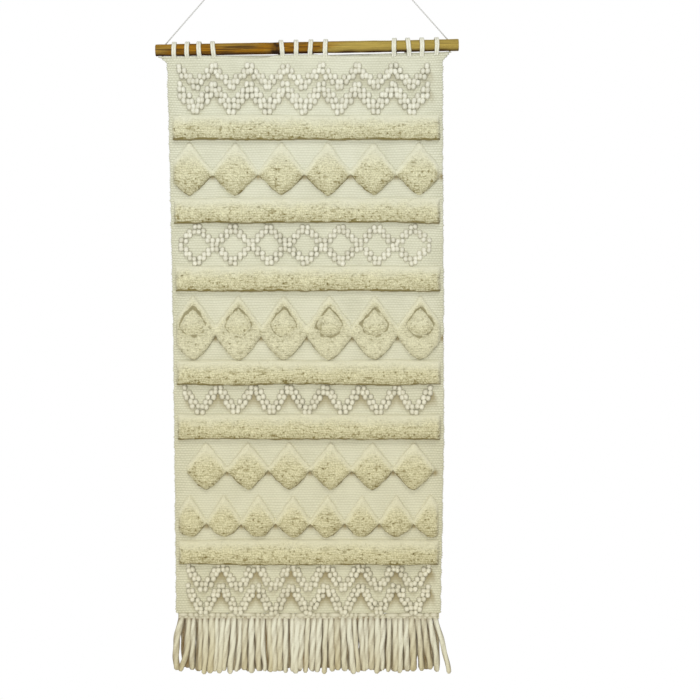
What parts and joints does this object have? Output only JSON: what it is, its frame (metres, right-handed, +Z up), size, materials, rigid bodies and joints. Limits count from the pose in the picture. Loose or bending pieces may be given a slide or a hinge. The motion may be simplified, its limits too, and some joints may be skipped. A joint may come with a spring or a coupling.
{
  "type": "tapestry wall hanging",
  "caption": "Hand-woven cotton wall hanging with bead zigzags, cut-pile bands and diamonds, slung from a wooden dowel on a string, with a long fringe.",
  "frame": {"origin": "the point where the wall screw enters the wall, on the wall's surface", "axes": "+Z up, +Y into the wall, +X to the right of someone who faces the hanging"},
  "size_m": [0.4548, 0.0557, 1.1892],
  "materials": {
    "ground_cloth": "weft-faced plain weave with raised ribs, matt",
    "warp_yarn": "soft spun cotton yarn, matt",
    "bead_yarn": "puffy looped cotton yarn, matt",
    "cut_pile": "short cut pile, soft and matt",
    "fringe_yarn": "combed cotton strands, matt",
    "hanging_string": "thin twisted string, matt",
    "dowel_wood": "bare wood with brown streaks, satin",
    "screw_steel": "plain zinc-plated steel"
  },
  "bodies": {
    "wall": {"wall_screw": "screw_steel"},
    "hanger": {"hanging_cord": "hanging_string", "knot_left": "hanging_string", "knot_right": "hanging_string"},
    "dowel": {"dowel": "dowel_wood"},
    "panel_upper": {"ground_upper": "ground_cloth", "loop_01": "warp_yarn", "loop_02": "warp_yarn", "loop_03": "warp_yarn", "loop_04": "warp_yarn", "loop_05": "warp_yarn", "loop_06": "warp_yarn", "loop_07": "warp_yarn", "loop_08": "warp_yarn", "loop_09": "warp_yarn", "loop_10": "warp_yarn", "loop_11": "warp_yarn", "loop_12": "warp_yarn", "beads_top_first": "bead_yarn", "beads_top_second": "bead_yarn", "beads_diamond_chain": "bead_yarn", "pile_band_1": "cut_pile", "pile_band_2": "cut_pile", "pile_band_3": "cut_pile", "pile_diamonds_upper": "cut_pile"},
    "panel_middle": {"ground_middle": "ground_cloth", "lattice_outline": "cut_pile", "lattice_dot_1": "cut_pile", "lattice_dot_2": "cut_pile", "lattice_dot_3": "cut_pile", "lattice_dot_4": "cut_pile", "lattice_dot_5": "cut_pile", "lattice_dot_6": "cut_pile", "pile_band_4": "cut_pile", "pile_band_5": "cut_pile", "beads_middle": "bead_yarn"},
    "panel_lower": {"ground_lower": "ground_cloth", "pile_diamonds_middle": "cut_pile", "pile_diamonds_lower": "cut_pile", "pile_band_6": "cut_pile", "beads_bottom_first": "bead_yarn", "beads_bottom_second": "bead_yarn", "hem_braid": "bead_yarn"},
    "fringe": {"fringe_01": "fringe_yarn", "fringe_02": "fringe_yarn", "fringe_03": "fringe_yarn", "fringe_04": "fringe_yarn", "fringe_05": "fringe_yarn", "fringe_06": "fringe_yarn", "fringe_07": "fringe_yarn", "fringe_08": "fringe_yarn", "fringe_09": "fringe_yarn", "fringe_10": "fringe_yarn", "fringe_11": "fringe_yarn", "fringe_12": "fringe_yarn", "fringe_13": "fringe_yarn", "fringe_14": "fringe_yarn", "fringe_15": "fringe_yarn", "fringe_back": "fringe_yarn"}
  },
  "joints": [
    {"name": "hanging_sway", "type": "hinge", "parent": "wall", "child": "hanger", "pos_m": [0, -0.004, 0], "axis": [0, 1, 0], "range_deg": [-10, 10]},
    {"name": "dowel_turn", "type": "hinge", "parent": "hanger", "child": "dowel", "pos_m": [0, -0.0125, -0.24525], "axis": [0.9998, 0, 0.0178], "continuous": true},
    {"name": "panel_swing", "type": "hinge", "parent": "hanger", "child": "panel_upper", "pos_m": [0, -0.0125, -0.24525], "axis": [-0.9998, 0, -0.0178], "range_deg": [0, 75]},
    {"name": "panel_bend_upper", "type": "hinge", "parent": "panel_upper", "child": "panel_middle", "pos_m": [0, -0.0103, -0.6143], "axis": [1, 0, 0], "range_deg": [0, 60]},
    {"name": "panel_bend_lower", "type": "hinge", "parent": "panel_middle", "child": "panel_lower", "pos_m": [0, -0.0103, -0.8348], "axis": [1, 0, 0], "range_deg": [0, 60]},
    {"name": "fringe_swing", "type": "hinge", "parent": "panel_lower", "child": "fringe", "pos_m": [0, -0.01335, -1.103], "axis": [-1, 0, 0], "range_deg": [-30, 45]}
  ]
}
